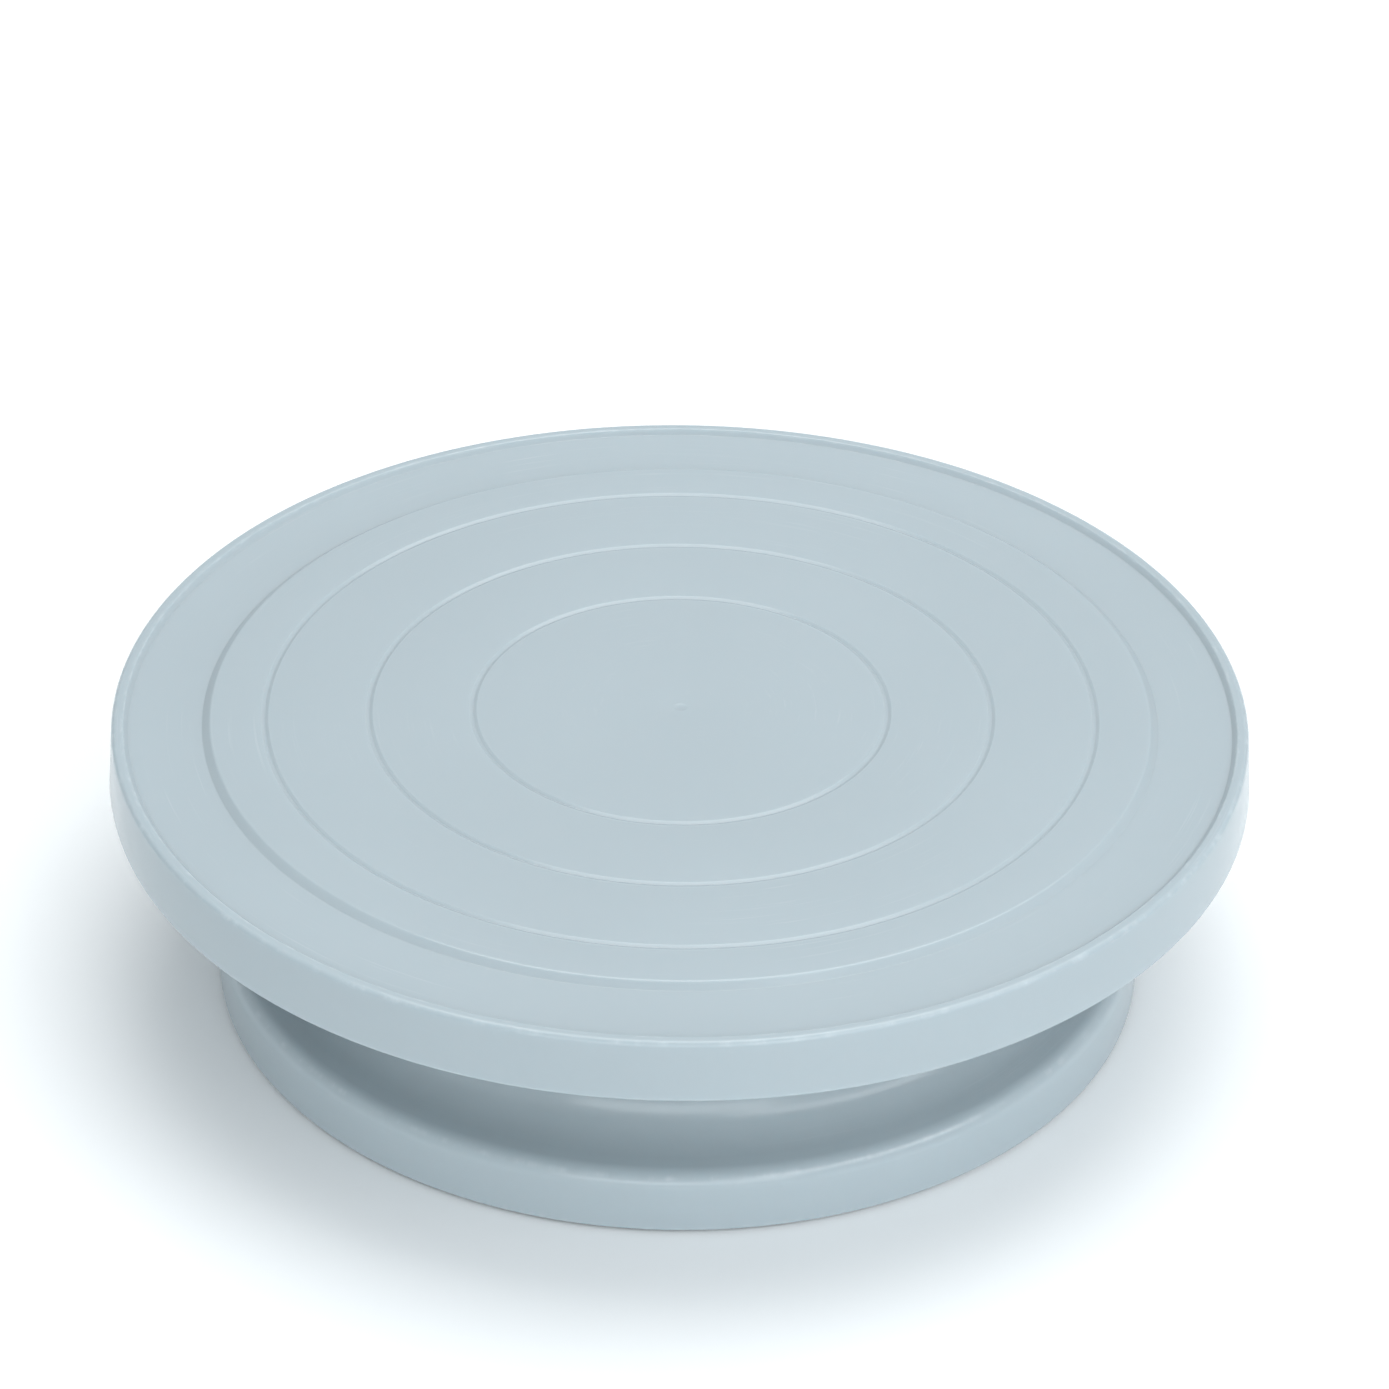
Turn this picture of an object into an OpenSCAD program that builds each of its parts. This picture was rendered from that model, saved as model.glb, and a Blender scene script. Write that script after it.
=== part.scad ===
// Cake turntable: a flat plate with a drafted skirt that spins on a ball thrust
// bearing above a flared, hollow base. Millimetres, +Z up, origin on the table
// under the spindle. All named heights are measured from the table.

/* [Overall] */
// Height of the cake platform above the table
total_h = 73; // [70:0.5:76]
// Diameter across the bottom edge of the plate's skirt
plate_d = 280; // [276:1:300]
// Diameter of the base where it meets the table
base_d = 230; // [226:1:240]

/* [Plate] */
// Depth of the skirt below the cake platform
skirt_depth = 15.8; // [14.5:0.1:16.5]
// How far the skirt leans out from top to bottom
skirt_draft = 1.1; // [0.5:0.1:1.5]
// Thickness of the skirt
skirt_t = 2.4; // [2:0.1:3]
// Diameter of the raised cake platform, at its foot
platform_d = 233.8; // [230:0.1:240]
// Height of the raised platform above the flat band round it
platform_rise = 1.5; // [1:0.1:1.8]
// Width of the bead that runs round the plate's edge
bead_w = 4; // [3:0.1:5]
// How far the bead stays below the platform, so that a wide board lies flat
bead_drop = 0.2; // [0.1:0.05:0.4]
// Thickness of the plate
plate_t = 3; // [2.6:0.1:3.2]
// Number of ribs under the outer part of the plate
plate_ribs = 32; // [24:4:40]

/* [Base] */
// Wall thickness of the base
base_t = 2.6; // [2.2:0.1:3]
// Gap between the table and the base's rim, held open by the feet
rim_gap = 0.8; // [0.6:0.1:2]
// Radius of the rounded shoulder above the rim
shoulder_r = 4.2; // [3.2:0.1:5]
// Height of the shoulder's upper surface
shoulder_h = 16.2; // [15:0.1:17]
// Radius of the concave flare between shoulder and neck
flare_r = 12; // [10:0.5:14]
// Number of ribs under the deck
base_ribs = 20; // [16:2:24]

/* [Bearing] */
// Diameter of a ball
ball_d = 6; // [5.6:0.1:6.2]
// Diameter of the circle that the balls run on
ball_circle_d = 112; // [108:1:116]

/* [Hub] */
// Diameter of the spindle
spindle_d = 12; // [10:0.5:13]
// Running clearance between spindle and bushes, on the radius
bush_gap = 0.05; // [0.02:0.01:0.08]

/* [Feet] */
// Diameter of a foot's pad
foot_d = 14; // [12:0.5:15]

/* [Hidden] */
$fn = 96;
eps = 0.01;
arc_steps = 9;

// Plate heights and radii
band_z = total_h - platform_rise;
bead_z = total_h - bead_drop;
skirt_z = total_h - skirt_depth;
plate_r = plate_d / 2;
top_r = plate_r - skirt_draft;
platform_r = platform_d / 2;
step_w = 1.6;             // run of the sloping edge of the platform
bead_run = 1.1;           // run of the bead's inner slope
edge_r = 1.3;             // rounding of the plate's outer top edge
lip_r = 0.8;              // rounding of the skirt's bottom edge
band_under_z = band_z - plate_t + 0.2;
platform_under_z = total_h - plate_t;
rib_foot_z = total_h - 6.5;
rib_t = 1.8;
stiff_ring_r = 92;        // ring that ties the plate's outer ribs together
guide_radii = [50.8, 76.2, 101.6]; // centring grooves for 4, 6 and 8 inch boards
groove_r = 1;
groove_depth = 0.4;

// Bearing stack, from the deck of the base up to the plate
deck_z = total_h - 12.4;
race_t = 2;
race_in_r = ball_circle_d / 2 - 5.5;
race_out_r = ball_circle_d / 2 + 5.5;
race_seat = 0.4;          // depth of the recess that holds each race
race_groove = 0.5;
roll_gap = 0.02;
track_r = ball_circle_d / 2;
ball_r = ball_d / 2;
groove_ball_r = ball_r + 0.25;
lower_race_z = deck_z - race_seat;
ball_z = lower_race_z + race_t - race_groove + roll_gap + ball_r;
upper_race_z = ball_z + ball_r + roll_gap - race_groove;
race_ring_w = 2;          // wall outside each race in its seat
cage_t = 3.6;
pocket_r = ball_r + 0.15;
pocket_wall = 1.45;

// Hub
spindle_r = spindle_d / 2;
bush_flange_r = 11;
bush_flange_t = 1.5;
bush_r = 8.5;
bush_len = 10;
hub_well_r = 15;
hub_top_z = deck_z - 2.4;
collar_r = 9;
end_play = 0.3;
collar_z = hub_top_z + bush_flange_t + end_play;
plate_boss_z = collar_z + 2.4;
plate_boss_r = 14;
boss_r = 16;
boss_foot_z = 21;
pocket_z = 34.7;          // roof of the pocket below the lower bush
screw_pocket_r = 13.2;
journal_foot_z = pocket_z - bush_flange_t - end_play;
washer_t = 1.5;
washer_r = 10;
lock_t = 1.2;
screw_r = 2.5;
screw_head_r = 4.8;
screw_head_h = 3.4;
screw_len = 13;
cap_t = 1.6;
cap_gap = 0.05;
fit_gap = 0.02;           // gap left round pieces that seat in a socket

// Base
base_r = base_d / 2;
base_draft = 0.6;
shoulder_c = [base_r - base_draft - shoulder_r, shoulder_h - shoulder_r];
valley_w = 3.2;           // flat ring between shoulder and flare
flare_c = [shoulder_c[0] - valley_w, shoulder_h + flare_r];
neck_r = flare_c[0] - flare_r;
neck_draft = 0.6;
deck_edge_r = 3;
deck_t = 3;
deck_rib_z = deck_z - deck_t - 10;
deck_rings = [42, 67];
deck_rib_t = 2;

// Feet
foot_r = foot_d / 2;
foot_circle_r = 103;
foot_boss_r = foot_r + 1.5;
foot_boss_z = 2;
foot_boss_h = 12.5;       // its top ends inside the shoulder's wall
foot_pad_h = 3.2;
foot_stem_r = 2.5;
foot_stem_h = 6;

// Each ball and each foot has its own node, so their numbers stay as they are.
ball_count = 16;
foot_count = 6;

// Points along an arc about c, from angle a0 to a1 in degrees.
function arc(c, r, a0, a1) =
    [for (i = [0:arc_steps]) let (a = a0 + (a1 - a0) * i / arc_steps) c + r * [cos(a), sin(a)]];

// Two digits, as in a node's name.
function two_digits(i) = i < 10 ? str("0", i) : str(i);

// A ring with a rectangular section.
module ring(r_in, r_out, z0, z1) {
    translate([0, 0, z0]) difference() {
        cylinder(r = r_out, h = z1 - z0);
        translate([0, 0, -1]) cylinder(r = r_in, h = z1 - z0 + 2);
    }
}

// Evenly spaced radial ribs between two radii.
module ribs(count, r_in, r_out, z0, z1, t) {
    for (i = [0:count - 1])
        rotate([0, 0, i * 360 / count])
            translate([r_in, -t / 2, z0]) cube([r_out - r_in, t, z1 - z0]);
}

// A cylinder with a chamfer at each end.
module chamfered_rod(r, z0, z1, c) {
    rotate_extrude() polygon([[0, z0], [r - c, z0], [r, z0 + c], [r, z1 - c], [r - c, z1], [0, z1]]);
}

// Half section of the plate without its ribs: platform, flat band, bead and skirt.
module plate_section() {
    inner_top = top_r - skirt_t;
    inner_foot = plate_r - skirt_t;
    polygon(concat(
        [[0, platform_under_z], [0, total_h]],
        arc([platform_r - step_w - 1, total_h - 1], 1, 90, 45),
        [[platform_r, band_z], [top_r - bead_w, band_z]],
        arc([top_r - bead_w + bead_run + 0.4, bead_z - 0.6], 0.6, 135, 90),
        arc([top_r - edge_r, bead_z - edge_r], edge_r, 90, 4),
        arc([plate_r - lip_r, skirt_z + lip_r], lip_r, 0, -90),
        [[inner_foot, skirt_z], [inner_top, band_under_z - 1.4], [inner_top - 1.2, band_under_z],
         [platform_r - 3, band_under_z], [platform_r - 4.5, platform_under_z]]));
}

module turntable_plate() {
    color("aliceblue") difference() {
        union() {
            rotate_extrude() plate_section();
            ribs(plate_ribs, race_out_r + 1, top_r - skirt_t + 0.5, rib_foot_z, band_under_z + 0.5, rib_t);
            ribs(plate_ribs / 2, plate_boss_r - 1, race_in_r - 1, rib_foot_z, platform_under_z + 0.5, rib_t);
            ring(stiff_ring_r - rib_t / 2, stiff_ring_r + rib_t / 2, rib_foot_z, platform_under_z + 0.5);
            ring(race_in_r - race_ring_w, race_out_r + race_ring_w,
                 upper_race_z + race_t - race_seat, platform_under_z + 0.5);
            translate([0, 0, plate_boss_z])
                cylinder(r = plate_boss_r, h = platform_under_z + 0.5 - plate_boss_z);
        }
        for (r = guide_radii)
            rotate_extrude() translate([r, total_h + groove_r - groove_depth]) circle(r = groove_r, $fn = 24);
        translate([0, 0, total_h + 4 - groove_depth]) sphere(r = 4, $fn = 48);
        ring(race_in_r - fit_gap, race_out_r + fit_gap,
             upper_race_z + race_t - race_seat - 1, upper_race_z + race_t);
        translate([0, 0, plate_boss_z - 1])
            cylinder(r = spindle_r, h = platform_under_z + 0.6 - plate_boss_z + 1);
    }
}

// A bearing race: a flat ring with a round groove. The groove opens towards side, +1 up or -1 down.
module race(z0, side) {
    groove_z = side > 0 ? z0 + race_t - race_groove + groove_ball_r : z0 + race_groove - groove_ball_r;
    color("silver") rotate_extrude() difference() {
        translate([race_in_r, z0]) square([race_out_r - race_in_r, race_t]);
        translate([track_r, groove_z]) circle(r = groove_ball_r, $fn = 64);
    }
}

module upper_race() { race(upper_race_z, -1); }

module lower_race() { race(lower_race_z, 1); }

// Places its children at ball i of the circle, counting from 1.
module at_ball(i) {
    rotate([0, 0, (i - 1) * 360 / ball_count]) translate([track_r, 0, ball_z]) children();
}

module ball(i) {
    color("gainsboro") at_ball(i) sphere(r = ball_r);
}

// A narrow ring with a round boss for each ball. The pocket is a sphere cut short, so it snaps over the ball.
module ball_cage() {
    color("ivory") difference() {
        union() {
            ring(track_r - 2.2, track_r + 2.2, ball_z - cage_t / 3, ball_z + cage_t / 3);
            for (i = [1:ball_count])
                at_ball(i) cylinder(r = pocket_r + pocket_wall, h = cage_t, center = true);
        }
        for (i = [1:ball_count]) at_ball(i) sphere(r = pocket_r);
    }
}

// Outline of the base's outer face, from the rim up to the deck.
function base_outer() = concat(
    [[base_r - 0.6, rim_gap], [base_r, rim_gap + 0.6]],
    arc(shoulder_c, shoulder_r, 0, 90),
    arc(flare_c, flare_r, 270, 180),
    arc([neck_r - neck_draft - deck_edge_r, deck_z - deck_edge_r], deck_edge_r, 0, 90));

// Half section of the moulded shell, which keeps one wall thickness from rim to deck.
module shell_section() {
    inner = concat(
        [[base_r - base_t, rim_gap]],
        arc(shoulder_c, shoulder_r - base_t, 0, 90),
        arc(flare_c, flare_r + base_t, 270, 180),
        arc([neck_r - neck_draft - base_t - 2, deck_z - deck_t - 2], 2, 0, 90),
        [[boss_r - 1, deck_z - deck_t]]);
    polygon(concat([[boss_r - 1, deck_z]], [for (i = [len(base_outer()) - 1:-1:0]) base_outer()[i]], inner));
}

module base_shell() {
    color("lightsteelblue") difference() {
        union() {
            rotate_extrude() shell_section();
            ribs(base_ribs, boss_r - 1, neck_r - neck_draft - base_t / 2, deck_rib_z, deck_z - deck_t + 0.5,
                 deck_rib_t);
            for (r = deck_rings)
                ring(r - deck_rib_t / 2, r + deck_rib_t / 2, deck_rib_z, deck_z - deck_t + 0.5);
            translate([0, 0, boss_foot_z]) cylinder(r = boss_r, h = deck_z - boss_foot_z);
            at_feet() translate([0, 0, foot_boss_z]) cylinder(r = foot_boss_r, h = foot_boss_h);
        }
        ring(race_in_r - fit_gap, race_out_r + fit_gap, lower_race_z, deck_z + 1);
        translate([0, 0, hub_top_z]) cylinder(r = hub_well_r, h = deck_z - hub_top_z + 1);
        translate([0, 0, boss_foot_z]) cylinder(r = bush_r, h = hub_top_z - boss_foot_z + 1);
        translate([0, 0, boss_foot_z - 1]) cylinder(r = screw_pocket_r, h = pocket_z - boss_foot_z + 1);
        at_feet() translate([0, 0, foot_boss_z - 1])
            cylinder(r = foot_r + fit_gap * 5, h = foot_pad_h - foot_boss_z + 1);
        at_feet() translate([0, 0, foot_boss_z])
            cylinder(r = foot_stem_r + fit_gap, h = foot_pad_h + foot_stem_h + 0.4 - foot_boss_z);
    }
}

// Places its children at every foot.
module at_feet() {
    for (i = [1:foot_count]) at_foot(i) children();
}

module at_foot(i) {
    rotate([0, 0, (i - 1) * 360 / foot_count]) translate([foot_circle_r, 0, 0]) children();
}

module foot(i) {
    color("dimgray") at_foot(i) {
        chamfered_rod(foot_r, 0, foot_pad_h, 0.5);
        translate([0, 0, foot_pad_h - eps]) cylinder(r = foot_stem_r, h = foot_stem_h + eps);
    }
}

// Steel spindle: pressed into the plate's boss above the collar, turning in the bushes below it.
module spindle() {
    color("silver") difference() {
        union() {
            chamfered_rod(spindle_r, journal_foot_z, platform_under_z + 0.3, 0.6);
            ring(spindle_r - 1, collar_r, collar_z, plate_boss_z);
        }
        translate([0, 0, journal_foot_z - 1]) cylinder(r = screw_r, h = screw_len + 2);
    }
}

// A flanged bush. side is +1 when the flange is at the top and -1 when it is at the bottom.
module bush(z, side) {
    color("beige") difference() {
        translate([0, 0, z]) union() {
            translate([0, 0, side > 0 ? 0 : -bush_flange_t]) cylinder(r = bush_flange_r, h = bush_flange_t);
            translate([0, 0, side > 0 ? -bush_len : 0]) cylinder(r = bush_r - fit_gap, h = bush_len);
        }
        translate([0, 0, z - 2 * bush_len]) cylinder(r = spindle_r + bush_gap, h = 4 * bush_len);
    }
}

module upper_bush() { bush(hub_top_z, 1); }

module lower_bush() { bush(pocket_z, -1); }

module retaining_washer() {
    color("silver") ring(screw_r + 0.15, washer_r, journal_foot_z - washer_t, journal_foot_z);
}

// Split spring washer under the screw's head.
module lock_washer() {
    z0 = journal_foot_z - washer_t - lock_t;
    color("gray") difference() {
        ring(screw_r + 0.1, screw_head_r - 0.2, z0, z0 + lock_t);
        rotate([0, 0, 35]) translate([0, -0.4, z0 - 1]) cube([10, 0.8, lock_t + 2]);
    }
}

// Pan-head screw with a cross recess, entering the spindle from below.
module retaining_screw() {
    seat_z = journal_foot_z - washer_t - lock_t;
    dome_r = 7;
    color("silver") difference() {
        union() {
            intersection() {
                translate([0, 0, seat_z - screw_head_h]) cylinder(r = screw_head_r, h = screw_head_h);
                translate([0, 0, seat_z - screw_head_h + dome_r]) sphere(r = dome_r);
            }
            translate([0, 0, seat_z - 0.5]) cylinder(r = screw_r - fit_gap, h = screw_len + 0.5);
        }
        for (a = [0, 90])
            rotate([0, 0, a]) translate([-2.6, -0.6, seat_z - screw_head_h - 1]) cube([5.2, 1.2, 2.8]);
    }
}

// Snap-in cap that closes the pocket round the screw.
module dust_cap() {
    spigot_r = screw_pocket_r - cap_gap;
    color("aliceblue") difference() {
        union() {
            chamfered_rod(boss_r, boss_foot_z - cap_t, boss_foot_z, 0.4);
            ring(spigot_r - 2, spigot_r, boss_foot_z - eps, boss_foot_z + 4);
        }
        translate([boss_r - 0.6, -3, boss_foot_z - cap_t - 1]) cube([3, 6, cap_t + 0.4]);
    }
}

turntable_plate();
upper_race();
ball_cage();
for (i = [1:ball_count]) ball(i);
lower_race();
base_shell();
spindle();
upper_bush();
lower_bush();
retaining_washer();
lock_washer();
retaining_screw();
dust_cap();
for (i = [1:foot_count]) foot(i);
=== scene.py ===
"""Cake turntable: the looks of its mouldings, bearing, hub and feet, on a plain pale floor.

The two big mouldings, the cap and the feet are turned from rounded outlines, with their ribs and
sockets joined on. The bearing and hub pieces keep their CAD shapes. Sizes are in millimetres until
a mesh is made.
"""

import math

import bmesh
import bpy
from mathutils import Matrix, Vector


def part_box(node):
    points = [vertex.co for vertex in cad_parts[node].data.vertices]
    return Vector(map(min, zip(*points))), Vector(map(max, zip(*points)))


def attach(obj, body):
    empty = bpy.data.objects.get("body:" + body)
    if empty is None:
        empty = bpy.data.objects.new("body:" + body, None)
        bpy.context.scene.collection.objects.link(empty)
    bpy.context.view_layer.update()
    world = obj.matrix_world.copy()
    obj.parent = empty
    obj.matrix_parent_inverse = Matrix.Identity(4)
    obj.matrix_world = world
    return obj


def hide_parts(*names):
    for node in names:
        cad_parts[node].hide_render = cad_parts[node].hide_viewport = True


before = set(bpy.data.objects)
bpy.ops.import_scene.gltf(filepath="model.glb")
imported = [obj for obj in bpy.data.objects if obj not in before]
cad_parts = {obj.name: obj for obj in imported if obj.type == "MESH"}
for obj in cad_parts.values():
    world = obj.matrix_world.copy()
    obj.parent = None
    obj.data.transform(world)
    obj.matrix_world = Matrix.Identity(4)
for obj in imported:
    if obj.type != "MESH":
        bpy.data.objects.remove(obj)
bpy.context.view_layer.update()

MM = 0.001
SEGMENTS = 288                     # steps in one turn of a moulding
FILLET_STEP = math.radians(12)     # largest turn between two points of a fillet


# ---------------------------------------------------------------- sizes read from the frame

def size_mm(node):
    """Lowest and highest corner of a CAD node, in millimetres, to the nearest tenth."""
    low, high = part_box(node)
    return [round(v / MM, 1) for v in low], [round(v / MM, 1) for v in high]


def node_count(prefix):
    """How many CAD nodes have names that start with prefix."""
    return sum(name.startswith(prefix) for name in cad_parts)


(_, _, skirt_z), (plate_r, _, top_z) = size_mm("turntable_plate")
(_, _, rim_z), (base_r, _, deck_z) = size_mm("base_shell")
(_, _, lower_race_z), (race_out_r, _, _) = size_mm("lower_race")
_, (_, _, upper_race_top) = size_mm("upper_race")
(_, _, cap_z), (cap_r, _, cap_top) = size_mm("dust_cap")
foot_low, foot_high = size_mm("foot_1")
foot_count = node_count("foot_")

# Bearing and hub
race_in_r = race_out_r - 11
race_seat = 0.4                    # depth of the recess that holds each race
race_ring_w = 2                    # wall of the plate's seat, on both sides of the race
fit_gap = 0.02                     # gap left round pieces that sit in a seat or a socket
spindle_r = 6
hub_well_r = 15
bush_r = 8.5
cap_t = 1.6
cap_pocket_r = 13.2

# Plate
top_r = plate_r - 1.1              # the skirt leans out towards its foot
skirt_t = 2.4
band_z = top_z - 1.5               # flat band round the raised platform
bead_z = top_z - 0.2
platform_r = 116.9                 # foot of the platform's sloping edge
guide_radii = (50.8, 76.2, 101.6)  # grooves for 4, 6 and 8 inch boards
groove_w = 1.8
groove_depth = 0.5
dimple_r = 1.7
dimple_depth = 0.4
band_under = band_z - 2.8
platform_under = top_z - 3
rib_tip_z = top_z - 6.5
stiff_ring_r = 92
boss_r = 14
boss_z = deck_z + 1.8
plate_ribs = 32
plate_rib_t = 1.8

# Base
base_t = 2.6
base_draft = 0.6                   # the rim and the neck lean in by this much
shoulder_z = 16.2
shoulder_r = 4.2
neck_r = 95
neck_top_r = neck_r - base_draft
flare_r = 12
deck_under = deck_z - 3
deck_rib_z = deck_under - 10
deck_rings = (42, 67)
hub_r = cap_r
hub_top = deck_z - 2.4
pocket_z = 34.7
base_ribs = 20
base_rib_t = 2
foot_circle_r = (foot_low[0] + foot_high[0]) / 2
foot_r = (foot_high[0] - foot_low[0]) / 2
foot_boss_r = foot_r + 1.5
foot_boss_z = 2
foot_boss_top = 14.5               # inside the shoulder's wall
foot_pad_h = 3.2
foot_stem_r = 2.5


# ---------------------------------------------------------------- mesh helpers

def rounded(corners):
    """Points of a closed outline whose corners, each (across, up, fillet), are rounded off."""
    points = []
    for i, (across, up, fillet) in enumerate(corners):
        here = Vector((across, up))
        if not fillet:
            points.append(here)
            continue
        to_last = (Vector(corners[i - 1][:2]) - here).normalized()
        to_next = (Vector(corners[(i + 1) % len(corners)][:2]) - here).normalized()
        half = to_last.angle(to_next) / 2
        centre = here + (to_last + to_next).normalized() * fillet / math.sin(half)
        start = here + to_last * fillet / math.tan(half) - centre
        end = here + to_next * fillet / math.tan(half) - centre
        turn = math.atan2(start.x * end.y - start.y * end.x, start.dot(end))
        steps = max(2, math.ceil(abs(turn) / FILLET_STEP))
        for step in range(steps + 1):
            points.append(centre + Matrix.Rotation(turn * step / steps, 2) @ start)
    return points


def new_piece(name, mesh_builder):
    """An object of that name in the scene, from a finished bmesh."""
    bmesh.ops.recalc_face_normals(mesh_builder, faces=mesh_builder.faces)
    mesh = bpy.data.meshes.new(name)
    mesh_builder.to_mesh(mesh)
    mesh_builder.free()
    piece = bpy.data.objects.new(name, mesh)
    bpy.context.scene.collection.objects.link(piece)
    return piece


def turned(name, corners, segments=SEGMENTS, centre=(0, 0)):
    """A solid of revolution about the Z line through centre. Corners at r = 0 lie on the axis."""
    outline = rounded(corners)
    builder = bmesh.new()
    rings = []
    for point in outline:
        if point.x < 1e-6:
            rings.append([builder.verts.new((centre[0] * MM, centre[1] * MM, point.y * MM))] * segments)
            continue
        rings.append([builder.verts.new(((centre[0] + point.x * math.cos(a)) * MM,
                                         (centre[1] + point.x * math.sin(a)) * MM,
                                         point.y * MM))
                      for a in (2 * math.pi * k / segments for k in range(segments))])
    for i, ring in enumerate(rings):
        below = rings[i - 1]
        for k in range(segments):
            n = (k + 1) % segments
            face = list(dict.fromkeys((below[k], below[n], ring[n], ring[k])))
            if len(face) > 2:
                builder.faces.new(face)
    return new_piece(name, builder)


def radial_ribs(count, r_in, r_out, root_z, tip_z, thickness, fillet, tip_fillet=0.5, draft=0.15):
    """Evenly spaced ribs that hang from root_z to tip_z, with flared roots and rounded tips."""
    root = thickness / 2 + draft / 2
    tip = thickness / 2 - draft / 2
    flare = root + fillet + 0.2
    sunk = root_z + 0.02           # the flared root starts just inside the wall it hangs from
    half = [(flare, root_z + 0.6, 0), (flare, sunk, 0), (root, sunk, fillet), (tip, tip_z, tip_fillet)]
    outline = rounded([(-y, z, f) for y, z, f in half] + half[::-1])
    builder = bmesh.new()
    for i in range(count):
        turn = Matrix.Rotation(2 * math.pi * i / count, 4, "Z")
        ends = [[builder.verts.new(turn @ Vector((r * MM, p.x * MM, p.y * MM))) for p in outline]
                for r in (r_in, r_out)]
        for k in range(len(outline)):
            builder.faces.new((ends[0][k - 1], ends[0][k], ends[1][k], ends[1][k - 1]))
        builder.faces.new(ends[0])
        builder.faces.new(ends[1][::-1])
    return new_piece("ribs", builder)


def merged(name, objects):
    """One object made of several, whose solids stay separate."""
    builder = bmesh.new()
    for obj in objects:
        builder.from_mesh(obj.data)
        bpy.data.objects.remove(obj)
    return new_piece(name, builder)


def combined(piece, *steps):
    """Piece with each (operation, tool) applied in turn. The tools are used up."""
    for operation, tool in steps:
        cut = piece.modifiers.new(operation, "BOOLEAN")
        cut.operation, cut.solver, cut.object = operation, "EXACT", tool
    bpy.context.view_layer.update()
    result = bpy.data.meshes.new_from_object(piece.evaluated_get(bpy.context.evaluated_depsgraph_get()))
    piece.modifiers.clear()
    piece.data = result
    for _, tool in steps:
        bpy.data.objects.remove(tool)
    return piece


def smooth(piece, angle=28):
    """Shades a piece smooth, with its real edges kept sharp."""
    for face in piece.data.polygons:
        face.use_smooth = True
    piece.data.set_sharp_from_angle(angle=math.radians(angle))
    return piece


# ---------------------------------------------------------------- material helpers

def make_node(tree, kind, inputs=(), **settings):
    """A shader node with its settings and inputs. An input is a value, or a socket to link."""
    new = tree.nodes.new("ShaderNode" + kind)
    for key, value in settings.items():
        setattr(new, key, value)
    for key, value in dict(inputs).items():
        if isinstance(value, bpy.types.NodeSocket):
            tree.links.new(value, new.inputs[key])
        else:
            new.inputs[key].default_value = value
    return new


def sums(tree, operation, *values, clamp=False):
    """The output of a Math node."""
    return make_node(tree, "Math", enumerate(values), operation=operation, use_clamp=clamp).outputs[0]


def ramp(tree, value, low, high, to_low=0.0, to_high=1.0):
    """Value from low to high, eased onto to_low to to_high."""
    return make_node(tree, "MapRange", {"Value": value, "From Min": low, "From Max": high, "To Min": to_low,
                                        "To Max": to_high}, interpolation_type="SMOOTHSTEP").outputs[0]


def noise(tree, vector, scale, detail=3.0, roughness=0.5):
    """Noise from 0 to 1, with scale features to each unit of vector."""
    return make_node(tree, "TexNoise", {"Vector": vector, "Scale": scale, "Detail": detail,
                                        "Roughness": roughness}).outputs["Fac"]


def mixed(tree, amount, a, b):
    """Colour a where amount is 0 and colour b where it is 1."""
    mix = make_node(tree, "Mix", {"Factor": amount}, data_type="RGBA")
    for socket, value in (("A_Color", a), ("B_Color", b)):
        target = next(s for s in mix.inputs if s.identifier == socket)
        if isinstance(value, bpy.types.NodeSocket):
            tree.links.new(value, target)
        else:
            target.default_value = (*value, 1)
    return next(s for s in mix.outputs if s.identifier == "Result_Color")


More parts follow.
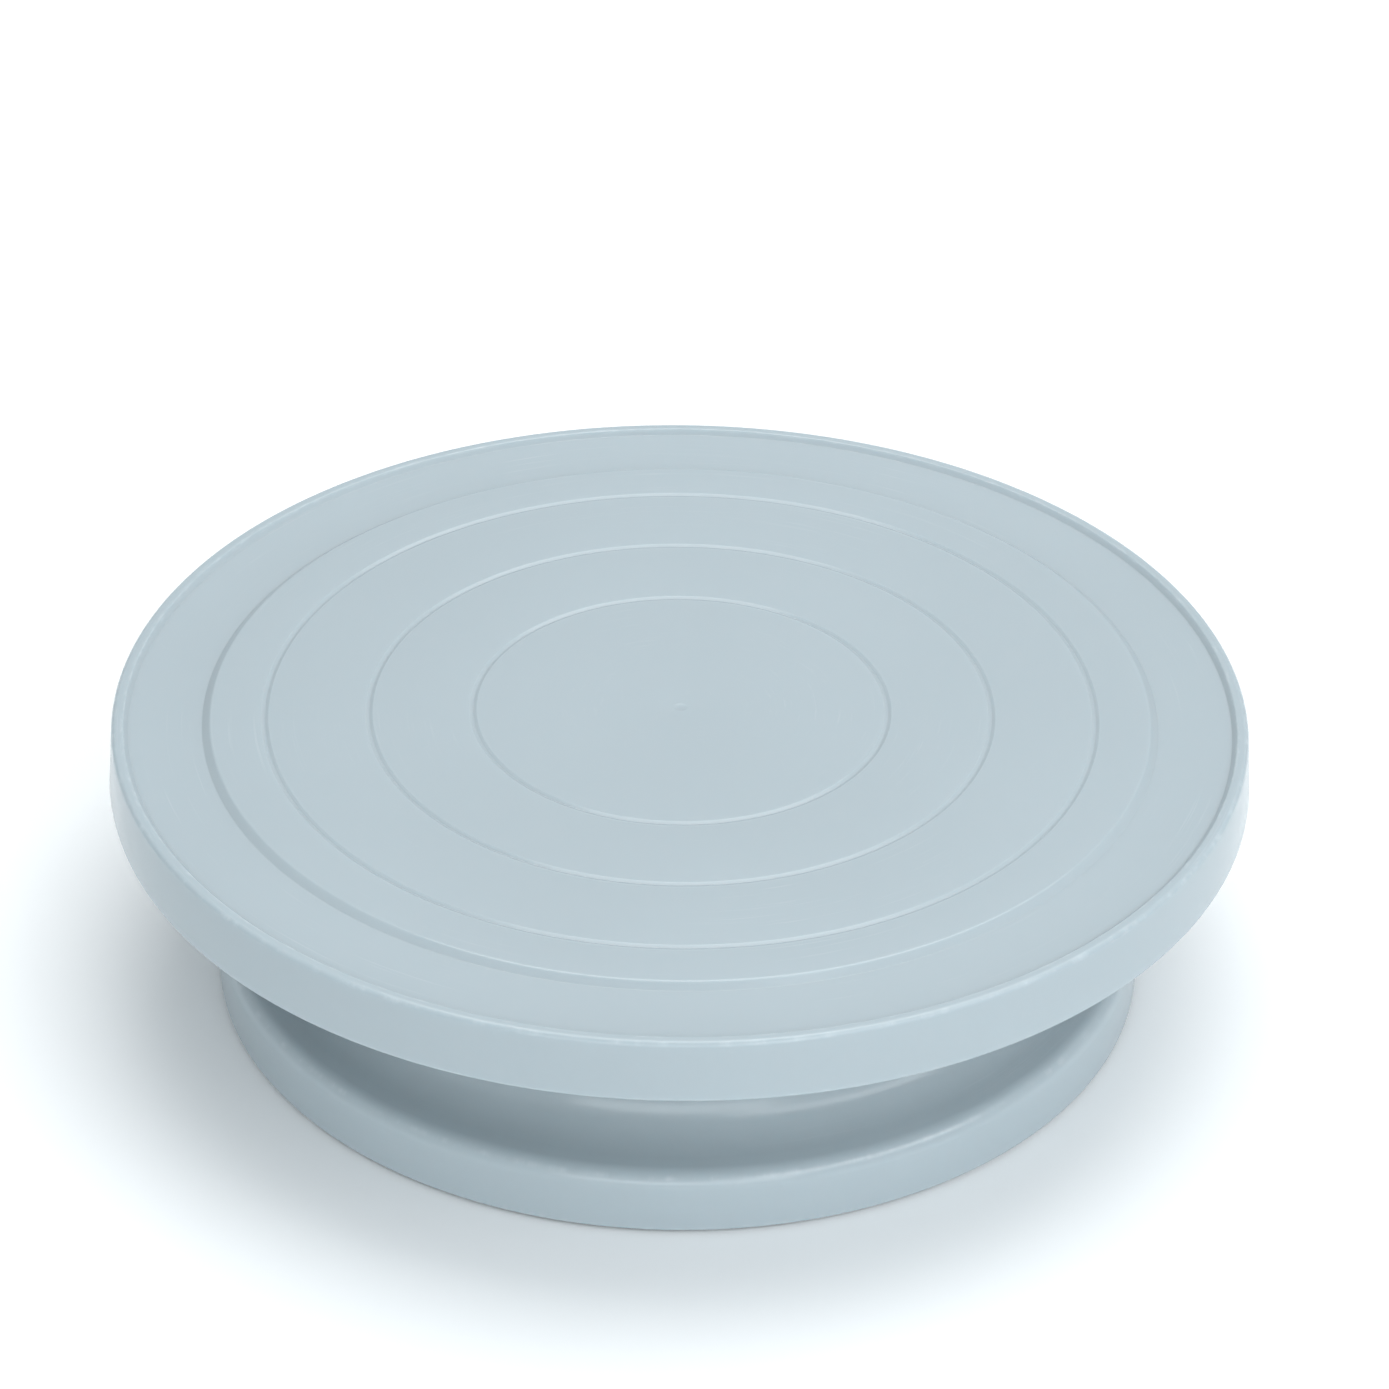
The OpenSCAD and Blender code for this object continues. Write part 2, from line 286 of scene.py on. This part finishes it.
class Surface:
    """A node material, with sockets for the place on the object, its radius and its height."""

    def __init__(self, name):
        self.material = bpy.data.materials.new(name)
        self.material.use_nodes = True
        self.tree = self.material.node_tree
        self.tree.nodes.clear()
        tree = self.tree
        self.place = make_node(tree, "TexCoord").outputs["Object"]
        parts = make_node(tree, "SeparateXYZ", {0: self.place}).outputs
        flat = make_node(tree, "CombineXYZ", {"X": parts["X"], "Y": parts["Y"]}).outputs[0]
        self.outward = make_node(tree, "VectorMath", {0: flat}, operation="NORMALIZE").outputs["Vector"]
        self.radius = make_node(tree, "VectorMath", {0: flat}, operation="LENGTH").outputs["Value"]
        self.height = parts["Z"]
        normal = make_node(tree, "NewGeometry").outputs["Normal"]
        self.normal_z = make_node(tree, "SeparateXYZ", {0: normal}).outputs["Z"]

    def ringed(self, turns, pitch):
        """Coordinates for marks that circle the axis, pitch mm apart. More turns break them up sooner."""
        tree = self.tree
        round_axis = make_node(tree, "VectorMath", {0: self.outward, "Scale": turns}, operation="SCALE")
        along = sums(tree, "MULTIPLY", sums(tree, "ADD", self.radius, self.height), 1000 / pitch)
        lift = make_node(tree, "CombineXYZ", {"Z": along}).outputs[0]
        return make_node(tree, "VectorMath", {0: round_axis.outputs[0], 1: lift}, operation="ADD").outputs[0]

    def near_edges(self, edges, reach):
        """1 on the circles whose radius and height are given in mm, falling to 0 at reach mm."""
        tree = self.tree
        nearest = None
        for edge_r, edge_z in edges:
            gap = make_node(tree, "CombineXYZ", {"X": sums(tree, "SUBTRACT", self.radius, edge_r * MM),
                                                 "Y": sums(tree, "SUBTRACT", self.height, edge_z * MM)})
            length = make_node(tree, "VectorMath", {0: gap.outputs[0]}, operation="LENGTH").outputs["Value"]
            nearest = length if nearest is None else sums(tree, "MINIMUM", nearest, length)
        return ramp(tree, nearest, 0.0, reach * MM, 1.0, 0.0)

    def bumps(self, *layers):
        """A normal from (height socket, depth in mm) layers."""
        normal = None
        for height, depth in layers:
            inputs = {"Height": height, "Distance": depth * MM}
            if normal is not None:
                inputs["Normal"] = normal
            normal = make_node(self.tree, "Bump", inputs).outputs["Normal"]
        return normal

    def finish(self, **inputs):
        """Ends the material in one principled shader and returns it."""
        named = {key.replace("_", " "): value for key, value in inputs.items()}
        shader = make_node(self.tree, "BsdfPrincipled", named)
        output = make_node(self.tree, "OutputMaterial")
        self.tree.links.new(shader.outputs[0], output.inputs["Surface"])
        return self.material


# ---------------------------------------------------------------- materials

def satin_plastic(name, colour, worn_edges):
    """Moulded polypropylene: slightly cloudy and translucent, fine-grained, scuffed where things rub."""
    roughness = 0.20
    s = Surface(name)
    tree = s.tree
    pale = tuple(c + 0.3 * (1 - c) for c in colour)
    cloud = ramp(tree, noise(tree, s.place, 11, detail=1), 0.25, 0.75)
    streaks = noise(tree, s.ringed(2.5, 0.7), 1.0, detail=4, roughness=0.65)
    patches = ramp(tree, noise(tree, s.place, 14, detail=2), 0.45, 0.7)
    facing_up = ramp(tree, s.normal_z, 0.8, 0.98)
    exposed = sums(tree, "MULTIPLY", patches, facing_up)
    scuffs = sums(tree, "MULTIPLY", ramp(tree, streaks, 0.58, 0.72), exposed)
    grain = noise(tree, s.place, 2600, detail=2)
    ripple = noise(tree, s.place, 60, detail=2)
    rubbing = ramp(tree, noise(tree, s.ringed(30, 1.0), 1.0, detail=4, roughness=0.6), 0.45, 0.75)
    rubbed = sums(tree, "MULTIPLY", s.near_edges(worn_edges, 1.2), rubbing)
    body = mixed(tree, cloud, tuple(c * 0.97 for c in colour), colour)
    body = mixed(tree, sums(tree, "MULTIPLY", scuffs, 0.22), body, pale)
    body = mixed(tree, sums(tree, "MULTIPLY", rubbed, 0.35), body, pale)
    rough = ramp(tree, noise(tree, s.place, 40, detail=2), 0.3, 0.7, roughness - 0.02, roughness + 0.02)
    rough = sums(tree, "ADD", rough, sums(tree, "MULTIPLY", scuffs, 0.03))
    rough = sums(tree, "ADD", rough, sums(tree, "MULTIPLY", rubbed, 0.02), clamp=True)
    normal = s.bumps((ripple, 0.012), (grain, 0.0015), (streaks, 0.0008))
    return s.finish(Base_Color=body, Roughness=rough, Normal=normal, IOR=1.49, Subsurface_Weight=0.35,
                    Subsurface_Radius=(0.7, 0.95, 1.0), Subsurface_Scale=0.004)


def turned_steel(name, colour, roughness, pitch_mm, depth_mm, grease=0.0):
    """Steel with rings left by grinding or turning, a few scratches and a trace of grease."""
    s = Surface(name)
    tree = s.tree
    rings = noise(tree, s.ringed(0.6, pitch_mm), 1.0, detail=3, roughness=0.7)
    scratches = ramp(tree, noise(tree, s.ringed(40, 3), 1.0, detail=6, roughness=0.8), 0.62, 0.7)
    film = ramp(tree, noise(tree, s.place, 130, detail=3), 0.4, 0.65)
    body = mixed(tree, ramp(tree, rings, 0.3, 0.7), tuple(c * 0.86 for c in colour), colour)
    body = mixed(tree, sums(tree, "MULTIPLY", film, grease), body, (0.42, 0.36, 0.22))
    rough = ramp(tree, rings, 0.25, 0.75, roughness - 0.06, roughness + 0.08)
    rough = sums(tree, "ADD", rough, sums(tree, "MULTIPLY", scratches, 0.15), clamp=True)
    normal = s.bumps((rings, depth_mm), (scratches, 0.004))
    return s.finish(Base_Color=body, Roughness=rough, Normal=normal, Metallic=1.0)


def moulded_part(name, colour, roughness, subsurface):
    """A small plain moulding, such as nylon or acetal."""
    s = Surface(name)
    tree = s.tree
    cloud = ramp(tree, noise(tree, s.place, 120, detail=4), 0.35, 0.65)
    grain = noise(tree, s.place, 3200, detail=3)
    body = mixed(tree, cloud, tuple(c * 0.93 for c in colour), colour)
    rough = ramp(tree, noise(tree, s.place, 500, detail=4), 0.3, 0.7, roughness - 0.05, roughness + 0.06)
    return s.finish(Base_Color=body, Roughness=rough, Normal=s.bumps((grain, 0.008)),
                    Subsurface_Weight=subsurface, Subsurface_Radius=(1.0, 0.9, 0.8), Subsurface_Scale=0.002)


def foot_rubber(name, colour):
    """Grey rubber with a fine spark-eroded grain, paler where it has picked up dust and flour."""
    s = Surface(name)
    tree = s.tree
    grain = noise(tree, s.place, 2400, detail=5, roughness=0.6)
    dust = ramp(tree, noise(tree, s.place, 260, detail=5), 0.45, 0.75)
    near_sole = ramp(tree, s.height, 0.0, 2 * MM, 1.0, 0.2)
    body = mixed(tree, grain, tuple(c * 0.85 for c in colour), tuple(c * 1.15 for c in colour))
    body = mixed(tree, sums(tree, "MULTIPLY", sums(tree, "MULTIPLY", dust, near_sole), 0.3), body,
                 (0.50, 0.50, 0.48))
    rough = ramp(tree, grain, 0.3, 0.7, 0.72, 0.88)
    return s.finish(Base_Color=body, Roughness=rough, Normal=s.bumps((grain, 0.02)), IOR=1.5)


# ---------------------------------------------------------------- mouldings

def hanging_ring(r_first, r_last, root_z, tip_z, fillet):
    """Corners of a drafted ring that hangs from root_z to tip_z, from one side of its wall to the other."""
    lean = math.copysign(0.1, r_first - r_last)
    return [(r_first + lean, root_z, fillet), (r_first, tip_z, 0.5), (r_last, tip_z, 0.5),
            (r_last - lean, root_z, fillet)]


def build_plate():
    """Platform, band, bead and skirt on top, with the race seat, boss, ring and ribs below."""
    top = [(0, top_z - dimple_depth, 0), (dimple_r, top_z, 0.5)]
    for r in guide_radii:
        top += [(r - groove_w / 2, top_z, 0.2), (r, top_z - groove_depth, 0.5),
                (r + groove_w / 2, top_z, 0.2)]
    top += [(platform_r - 2.0, top_z, 1.2), (platform_r, band_z, 0.5),
            (top_r - 4, band_z, 0.4), (top_r - 2.8, bead_z, 0.6), (top_r, bead_z, 1.3)]
    skirt = [(plate_r, skirt_z, 0.8), (plate_r - skirt_t, skirt_z, 0.6), (top_r - skirt_t, band_under, 1.4)]
    below = [(platform_r - 3, band_under, 1.0), (platform_r - 4.5, platform_under, 1.0)]
    below += hanging_ring(stiff_ring_r + plate_rib_t / 2, stiff_ring_r - plate_rib_t / 2, platform_under,
                          rib_tip_z, 0.6)
    seat_z = upper_race_top - race_seat
    seat_out, seat_in = race_out_r + fit_gap, race_in_r - fit_gap
    ring_out, ring_in = race_out_r + race_ring_w, race_in_r - race_ring_w
    bore_top = platform_under + 0.6
    below += [(ring_out + 0.1, platform_under, 0.4), (ring_out, seat_z, 0.3), (seat_out, seat_z, 0.1),
              (seat_out, upper_race_top, 0), (seat_in, upper_race_top, 0), (seat_in, seat_z, 0.1),
              (ring_in, seat_z, 0.3), (ring_in - 0.1, platform_under, 0.4),
              (boss_r + 0.2, platform_under, 1.2), (boss_r, boss_z, 0.5), (spindle_r, boss_z, 0.3),
              (spindle_r, bore_top, 0), (0, bore_top, 0)]
    plate = turned("plate_moulding", top + skirt + below)
    wall = plate_r - 1.9               # the outer ribs end inside the skirt's wall
    outer = radial_ribs(plate_ribs, race_out_r + 1, wall, platform_under, rib_tip_z, plate_rib_t, 0.7)
    band = radial_ribs(plate_ribs, platform_r - 2.5, wall, band_under, rib_tip_z, plate_rib_t - 0.02, 0.7)
    inner = radial_ribs(plate_ribs // 2, boss_r - 1, race_in_r - 1, platform_under, rib_tip_z,
                        plate_rib_t, 0.7)
    return combined(plate, ("UNION", outer), ("UNION", inner), ("UNION", band))


def foot_centre(i):
    """Where foot i stands, counting from 0."""
    a = 2 * math.pi * i / foot_count
    return foot_circle_r * math.cos(a), foot_circle_r * math.sin(a)


def build_base():
    """Rim, shoulder, flare, neck and deck in one wall, with the hub, rings, ribs and foot sockets."""
    shoulder_out = base_r - base_draft
    seat_out, seat_in = race_out_r + fit_gap, race_in_r - fit_gap
    hub_foot = cap_z + cap_t
    outside = [(base_r, rim_z, 0.6), (shoulder_out, shoulder_z, shoulder_r), (neck_r, shoulder_z, flare_r),
               (neck_top_r, deck_z, 3)]
    deck = [(seat_out, deck_z, 0.2), (seat_out, lower_race_z, 0), (seat_in, lower_race_z, 0),
            (seat_in, deck_z, 0.2), (hub_well_r, deck_z, 0.5), (hub_well_r, hub_top, 0.3),
            (bush_r, hub_top, 0.3), (bush_r, pocket_z, 0.3), (cap_pocket_r, pocket_z, 0.4),
            (cap_pocket_r, hub_foot, 0.4), (hub_r, hub_foot, 0.5), (hub_r + 0.2, deck_under, 1.4)]
    rings = []
    for r in deck_rings:
        rings += hanging_ring(r - base_rib_t / 2, r + base_rib_t / 2, deck_under, deck_rib_z, 0.8)
    under = shoulder_z - base_t
    inside = [(neck_top_r - base_t, deck_under, 2), (neck_r - base_t, under, flare_r + base_t),
              (shoulder_out - base_t, under, shoulder_r - base_t), (base_r - base_t, rim_z, 0.6)]
    base = turned("base_moulding", outside + deck + rings + inside)
    ribs = radial_ribs(base_ribs, hub_r - 1, neck_top_r - 1.3, deck_under, deck_rib_z - 0.01, base_rib_t, 0.9)
    boss = [(0, foot_boss_z, 0), (foot_boss_r, foot_boss_z, 0.4), (foot_boss_r - 0.1, foot_boss_top, 0.4),
            (0, foot_boss_top, 0)]
    socket_r, stem_hole_r, stem_hole_top = foot_r + 0.1, foot_stem_r + fit_gap, foot_high[2] + 0.4
    socket = [(0, foot_boss_z - 1, 0), (socket_r, foot_boss_z - 1, 0), (socket_r, foot_pad_h, 0),
              (0, foot_pad_h, 0)]
    stem = [(0, foot_pad_h - 0.2, 0), (stem_hole_r, foot_pad_h - 0.2, 0), (stem_hole_r, stem_hole_top, 0),
            (0, stem_hole_top, 0)]
    bosses, sockets, stems = [], [], []
    for i in range(foot_count):
        bosses.append(turned("boss", boss, 64, foot_centre(i)))
        sockets.append(turned("socket", socket, 64, foot_centre(i)))
        stems.append(turned("stem", stem, 32, foot_centre(i)))
    return combined(base, ("UNION", ribs), ("UNION", merged("bosses", bosses)),
                    ("DIFFERENCE", merged("sockets", sockets)), ("DIFFERENCE", merged("stems", stems)))


def build_cap():
    """Snap-in cap: a shallow dished disc with a spigot, and a notch for prising it out."""
    low, seat, spigot = cap_z, cap_z + cap_t, cap_pocket_r - 0.05
    cap = turned("cap_moulding", [
        (0, low + 0.5, 0), (2.2, low + 0.5, 0.3), (2.4, low + 0.2, 0.2), (cap_r - 3, low + 0.2, 0.6),
        (cap_r - 2, low, 0.5), (cap_r, low, 0.5), (cap_r, seat, 0.3), (spigot, seat, 0.2),
        (spigot, cap_top, 0.5), (spigot - 2, cap_top, 0.4), (spigot - 2, seat, 0.5), (0, seat, 0)], 128)
    notch = turned("notch", [(0, low - 1, 0), (3, low - 1, 0), (3, low + 0.8, 0.3), (0, low + 0.8, 0)], 48,
                   (cap_r + 1.6, 0))
    return combined(cap, ("DIFFERENCE", notch))


def build_foot(i):
    """Push-in rubber foot with a ringed sole."""
    sole = [(0, 0.5, 0), (1.6, 0.5, 0.2), (1.9, 0, 0.2), (3.1, 0, 0.2), (3.4, 0.4, 0.15), (3.9, 0.4, 0.15),
            (4.2, 0, 0.2), (foot_r - 0.2, 0, 0.7)]
    return turned(f"foot_{i + 1}_moulding",
                  sole + [(foot_r, foot_pad_h, 0.5), (foot_stem_r, foot_pad_h, 0.2),
                          (foot_stem_r, foot_high[2], 0.6), (0, foot_high[2], 0)], 64, foot_centre(i))


def dress(piece, material, slot_name, body, *nodes):
    """Gives a finished piece its material, its place on a body and the nodes it stands for."""
    piece.data.materials.clear()
    piece.data.materials.append(material)
    smooth(piece)
    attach(piece, body)
    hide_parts(*nodes)


plastic = (0.362, 0.418, 0.448)
plate_edges = [(top_r - 0.4, bead_z - 0.4), (plate_r - 0.3, skirt_z + 0.3), (top_r - 2.8, bead_z)]
base_edges = [(base_r - 0.3, rim_z + 0.3), (base_r - 1.6, shoulder_z - 1.2),
              (neck_top_r - 0.9, deck_z - 0.9)]
plate_plastic = satin_plastic("plate_plastic", plastic, plate_edges)
# Painted light: the 1.12 makes the whole base 12% lighter than the plate's plastic, a painted lift of the
# shade that falls on its flare under the plate.
base_plastic = satin_plastic("base_plastic", tuple(c * 1.12 for c in plastic), base_edges)
cap_plastic = satin_plastic("cap_plastic", plastic, [(cap_r - 0.3, cap_z + 0.3)])
rubber = foot_rubber("foot_rubber", (0.075, 0.08, 0.085))

dress(build_plate(), plate_plastic, "plate_plastic", "plate", "turntable_plate")
dress(build_base(), base_plastic, "base_plastic", "base", "base_shell")
dress(build_cap(), cap_plastic, "cap_plastic", "base", "dust_cap")
for i in range(foot_count):
    dress(build_foot(i), rubber, "foot_rubber", "base", f"foot_{i + 1}")

race_steel = turned_steel("race_steel", (0.62, 0.62, 0.63), 0.36, 0.25, 0.004, grease=0.35)
ball_steel = turned_steel("ball_steel", (0.72, 0.72, 0.73), 0.12, 1.5, 0.0005, grease=0.1)
carried_over = {
    "upper_race": race_steel,
    "lower_race": race_steel,
    "ball_cage": moulded_part("cage_nylon", (0.78, 0.75, 0.64), 0.42, 0.25),
    "spindle": turned_steel("spindle_steel", (0.58, 0.58, 0.59), 0.36, 0.3, 0.006, grease=0.2),
    "upper_bush": moulded_part("bush_acetal", (0.82, 0.80, 0.74), 0.35, 0.15),
    "retaining_washer": turned_steel("washer_steel", (0.66, 0.65, 0.60), 0.36, 0.4, 0.004),
    "lock_washer": turned_steel("spring_steel", (0.20, 0.20, 0.21), 0.40, 0.5, 0.006),
    "retaining_screw": turned_steel("screw_steel", (0.66, 0.65, 0.60), 0.37, 0.35, 0.006),
}
carried_over["lower_bush"] = carried_over["upper_bush"]
for name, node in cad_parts.items():
    material = ball_steel if name.startswith("ball_") and name != "ball_cage" else carried_over.get(name)
    if material:
        node.material_slots[0].material = material


# ---------------------------------------------------------------- floor, light and camera

def pale_floor():
    """A wide sheet of white paper under the turntable."""
    builder = bmesh.new()
    half = 25.0
    sunk = -0.1 * MM               # just under the soles, so that the two surfaces never coincide
    builder.faces.new([builder.verts.new((x * half, y * half, sunk))
                       for x, y in ((-1, -1), (1, -1), (1, 1), (-1, 1))])
    floor = new_piece("floor", builder)
    s = Surface("floor_paper")
    fibre = noise(s.tree, s.place, 900, detail=3)
    clouds = ramp(s.tree, noise(s.tree, s.place, 4), 0.3, 0.7)
    tone = mixed(s.tree, clouds, (0.88, 0.89, 0.895), (0.90, 0.91, 0.915))
    floor.data.materials.append(s.finish(Base_Color=tone, Roughness=0.75, Normal=s.bumps((fibre, 0.01))))


def softbox(name, place, aim, width, height, watts, colour=(1, 1, 1)):
    """A rectangular area light that faces aim."""
    light = bpy.data.lights.new(name, "AREA")
    light.shape, light.size, light.size_y = "RECTANGLE", width, height
    light.energy, light.color = watts, colour
    lamp = bpy.data.objects.new(name, light)
    lamp.location = place
    lamp.rotation_euler = (Vector(aim) - Vector(place)).to_track_quat("-Z", "Y").to_euler()
    bpy.context.scene.collection.objects.link(lamp)


def studio_light():
    """A bright surround, dimmer on the left and low down, and boxes at the right, in front and above."""
    world = bpy.data.worlds.new("studio")
    bpy.context.scene.world = world
    world.use_nodes = True
    tree = world.node_tree
    toward = make_node(tree, "TexCoord").outputs["Generated"]
    toward = make_node(tree, "SeparateXYZ", {0: toward}).outputs
    side = ramp(tree, toward["X"], -0.9, 0.9, 0.76, 0.98)
    rise = ramp(tree, toward["Z"], 0.0, 0.6, 0.60, 0.95)
    background = tree.nodes["Background"]
    background.inputs["Color"].default_value = (0.90, 0.965, 1.0, 1)
    tree.links.new(sums(tree, "MULTIPLY", side, rise), background.inputs["Strength"])
    softbox("right", (1.35, -1.25, 1.45), (0, 0, 0.03), 2.2, 0.8, 15, (0.97, 0.985, 1.0))
    softbox("front", (0.0, -1.8, 0.62), (0, 0, 0.03), 1.8, 0.7, 11, (0.94, 0.985, 1.0))
    softbox("overhead", (0.15, 0.45, 1.9), (0, 0, 0.04), 1.6, 1.6, 21.5, (1.0, 0.985, 0.97))


def photo_camera():
    """A long lens, looking down at the plate from the front."""
    elevation = math.radians(32.77)
    roll = math.radians(0.73)
    distance = 1.400
    back = Vector((0, -math.cos(elevation), math.sin(elevation)))
    up = Vector((0, math.sin(elevation), math.cos(elevation)))
    aim = Vector((0.0034, 0, (top_z - 0.8) * MM)) + up * 0.0038
    camera = bpy.data.cameras.new("camera")
    camera.sensor_width, camera.lens = 36, 148.1
    camera.clip_start, camera.clip_end = 0.05, 20
    viewer = bpy.data.objects.new("camera", camera)
    viewer.location = aim + back * distance
    viewer.rotation_mode = "QUATERNION"
    facing = (-back).to_track_quat("-Z", "Y").to_matrix()
    viewer.rotation_quaternion = (Matrix.Rotation(roll, 3, back) @ facing).to_quaternion()
    bpy.context.scene.collection.objects.link(viewer)
    bpy.context.scene.camera = viewer


pale_floor()
studio_light()
photo_camera()
bpy.context.scene.view_settings.view_transform = "Standard"
